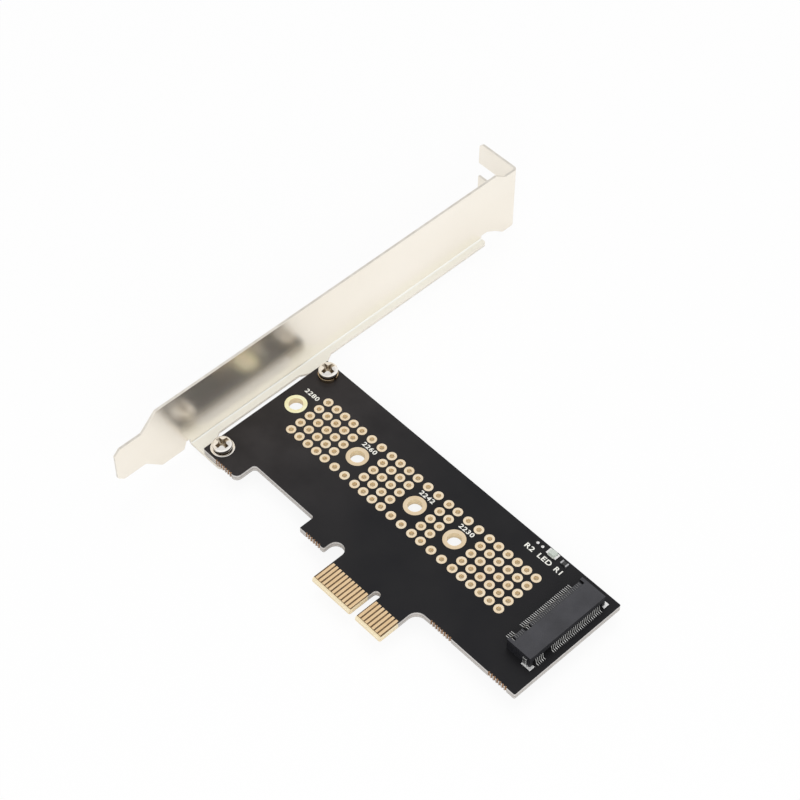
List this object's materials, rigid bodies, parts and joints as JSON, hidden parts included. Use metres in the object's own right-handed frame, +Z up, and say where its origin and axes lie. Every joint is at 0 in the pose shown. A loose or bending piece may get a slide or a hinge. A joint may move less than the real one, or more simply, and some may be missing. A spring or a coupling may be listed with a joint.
{
  "type": "nvme adapter card",
  "caption": "Plug-in adapter card that holds a long thin storage module, with edge contacts, a module socket, plated standoff holes and a full-height mounting bracket.",
  "frame": {"origin": "centre of the key notch, at the tip of the plug tongue, in the middle of the board's thickness", "axes": "+X along the card away from the mounting bracket, +Y from the slot towards the bracket's ear, +Z up from the component face"},
  "size_m": [0.1057, 0.12, 0.0207],
  "materials": {
    "board": "satin black solder mask",
    "gold": "gold plate",
    "nickel_sheet": "satin nickel plate",
    "screw_steel": "bright nickel plate",
    "socket_plastic": "matte black moulding",
    "pin_metal": "bright tin plate",
    "lamp_carrier": "white laminate",
    "lamp_lens": "clear cast lens",
    "resistor_ceramic": "dark coated ceramic",
    "solder": "bright solder"
  },
  "bodies": {
    "root": {"circuit_board": "board", "edge_contacts_long_front": "gold", "edge_contacts_short_front": "gold", "edge_contacts_long_back": "gold", "edge_contacts_short_back": "gold", "standoff_plating_80": "gold", "standoff_plating_60": "gold", "standoff_plating_42": "gold", "standoff_plating_30": "gold", "bracket": "nickel_sheet", "lower_bracket_screw": "screw_steel", "upper_bracket_screw": "screw_steel", "flat_washer": "screw_steel", "spring_washer": "screw_steel", "socket_housing": "socket_plastic", "socket_rear_pins_wide": "pin_metal", "socket_rear_pins_narrow": "pin_metal", "socket_front_pins_wide": "pin_metal", "socket_front_pins_narrow": "pin_metal", "socket_clip_far": "pin_metal", "socket_clip_near": "pin_metal", "lamp_base": "lamp_carrier", "lamp_lens": "lamp_lens", "lamp_terminal_left": "pin_metal", "lamp_terminal_right": "pin_metal", "resistor_body": "resistor_ceramic", "resistor_terminal_left": "pin_metal", "resistor_terminal_right": "pin_metal", "spare_solder_pads": "solder"}
  },
  "joints": []
}
